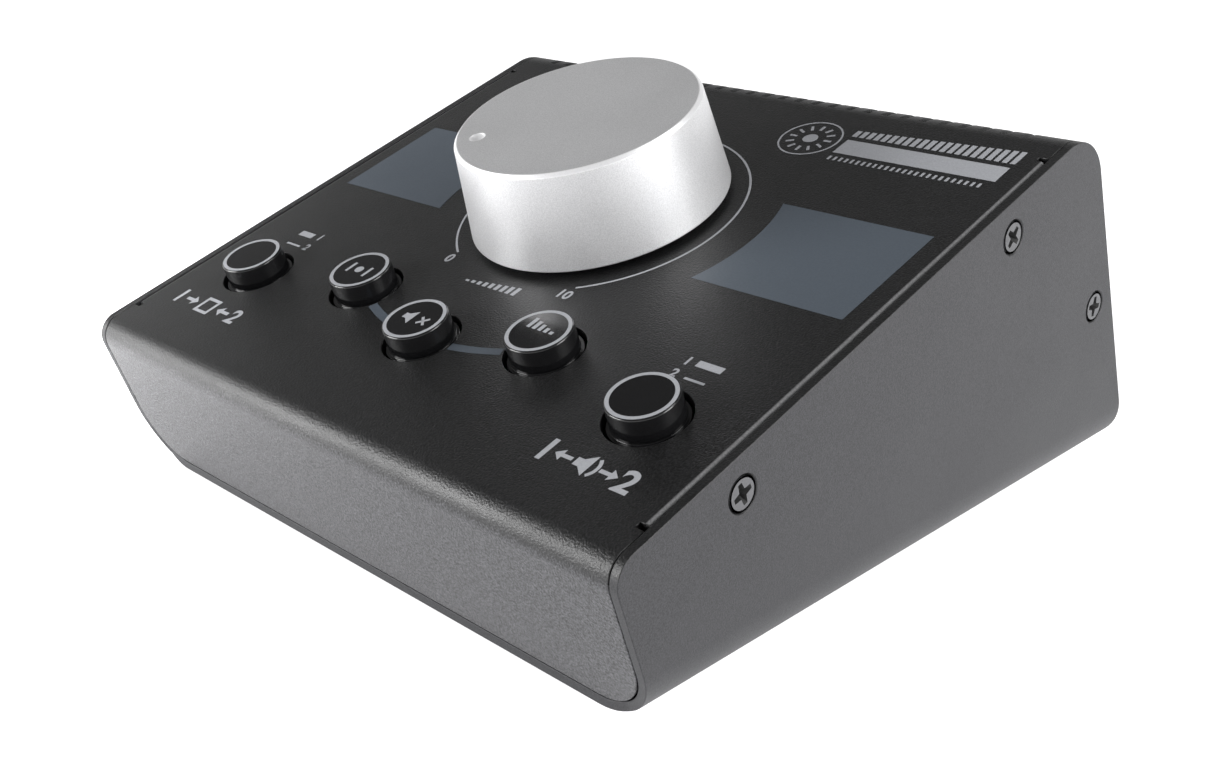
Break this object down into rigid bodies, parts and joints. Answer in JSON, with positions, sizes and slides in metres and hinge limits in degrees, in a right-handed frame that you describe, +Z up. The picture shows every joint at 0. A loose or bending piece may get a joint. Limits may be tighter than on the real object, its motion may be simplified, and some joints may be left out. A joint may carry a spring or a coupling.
{
  "type": "studio monitor controller",
  "caption": "Desktop monitor controller: wedge-shaped bent-sheet case with a large volume knob and round push buttons on its sloping top, and phone jacks in its back.",
  "frame": {"origin": "middle of the bounding box, in the plane that the rubber feet stand on", "axes": "+X to the user's right, +Y to the back, +Z up"},
  "size_m": [0.14, 0.1474, 0.081],
  "materials": {
    "black_coat": "fine-textured matte powder coat",
    "grey_coat": "satin metallic powder coat",
    "knob_aluminium": "bead-blasted and anodised, bright edge",
    "cap_black": "gloss",
    "black_plastic": "matte",
    "white_plastic": "matte",
    "steel": "plain",
    "nickel": "nickel plate",
    "brass": "plain",
    "contact_metal": "tin plate",
    "board_green": "solder mask",
    "rubber": "matte",
    "ribbon_grey": "satin"
  },
  "bodies": {
    "case": {"top_cover": "black_coat", "base_tray": "grey_coat", "side_screws": "grey_coat", "press_nuts": "steel", "rubber_feet": "rubber", "volume_pot_body": "black_plastic", "volume_pot_bushing": "nickel", "volume_pot_washer": "steel", "volume_pot_nut": "nickel", "volume_pot_pins": "contact_metal", "source_spring": "steel", "source_switch": "black_plastic", "mono_spring": "steel", "mono_switch": "black_plastic", "mute_spring": "steel", "mute_switch": "black_plastic", "dim_spring": "steel", "dim_switch": "black_plastic", "monitor_spring": "steel", "monitor_switch": "black_plastic", "switch_pins": "contact_metal", "control_board": "board_green", "control_board_parts": "contact_metal", "board_standoffs": "brass", "board_screws": "steel", "source_a_left_jack": "black_plastic", "source_a_right_jack": "black_plastic", "source_b_left_jack": "black_plastic", "source_b_right_jack": "black_plastic", "monitor_a_left_jack": "black_plastic", "monitor_a_right_jack": "black_plastic", "monitor_b_left_jack": "black_plastic", "monitor_b_right_jack": "black_plastic", "jack_bushings": "nickel", "jack_contacts": "contact_metal", "jack_washers": "steel", "jack_nuts": "nickel", "jack_board": "board_green", "jack_board_parts": "contact_metal", "control_header": "black_plastic", "jack_header": "black_plastic", "header_pins": "contact_metal", "ribbon_plugs": "black_plastic", "ribbon_cable": "ribbon_grey"},
    "volume_knob": {"volume_knob_shell": "knob_aluminium", "volume_knob_core": "black_plastic", "volume_shaft": "steel", "volume_wipers": "contact_metal"},
    "source_key": {"source_button": "cap_black", "source_plunger": "white_plastic"},
    "mono_key": {"mono_button": "cap_black", "mono_plunger": "white_plastic"},
    "mute_key": {"mute_button": "cap_black", "mute_plunger": "white_plastic"},
    "dim_key": {"dim_button": "cap_black", "dim_plunger": "white_plastic"},
    "monitor_key": {"monitor_button": "cap_black", "monitor_plunger": "white_plastic"}
  },
  "joints": [
    {"name": "volume_turn", "type": "hinge", "parent": "case", "child": "volume_knob", "pos_m": [0, -0.00638, 0.05556], "axis": [0, 0.319, -0.9478], "range_deg": [-13, 287]},
    {"name": "source_press", "type": "slide", "parent": "case", "child": "source_key", "axis": [0, 0.319, -0.9478], "range_m": [0, 0.0025], "stiffness_N_per_m": 250, "springref_m": -0.002, "deforming": ["source_spring"]},
    {"name": "mono_press", "type": "slide", "parent": "case", "child": "mono_key", "axis": [0, 0.319, -0.9478], "range_m": [0, 0.0025], "stiffness_N_per_m": 250, "springref_m": -0.002, "deforming": ["mono_spring"]},
    {"name": "mute_press", "type": "slide", "parent": "case", "child": "mute_key", "axis": [0, 0.319, -0.9478], "range_m": [0, 0.0025], "stiffness_N_per_m": 250, "springref_m": -0.002, "deforming": ["mute_spring"]},
    {"name": "dim_press", "type": "slide", "parent": "case", "child": "dim_key", "axis": [0, 0.319, -0.9478], "range_m": [0, 0.0025], "stiffness_N_per_m": 250, "springref_m": -0.002, "deforming": ["dim_spring"]},
    {"name": "monitor_press", "type": "slide", "parent": "case", "child": "monitor_key", "axis": [0, 0.319, -0.9478], "range_m": [0, 0.0025], "stiffness_N_per_m": 250, "springref_m": -0.002, "deforming": ["monitor_spring"]}
  ]
}
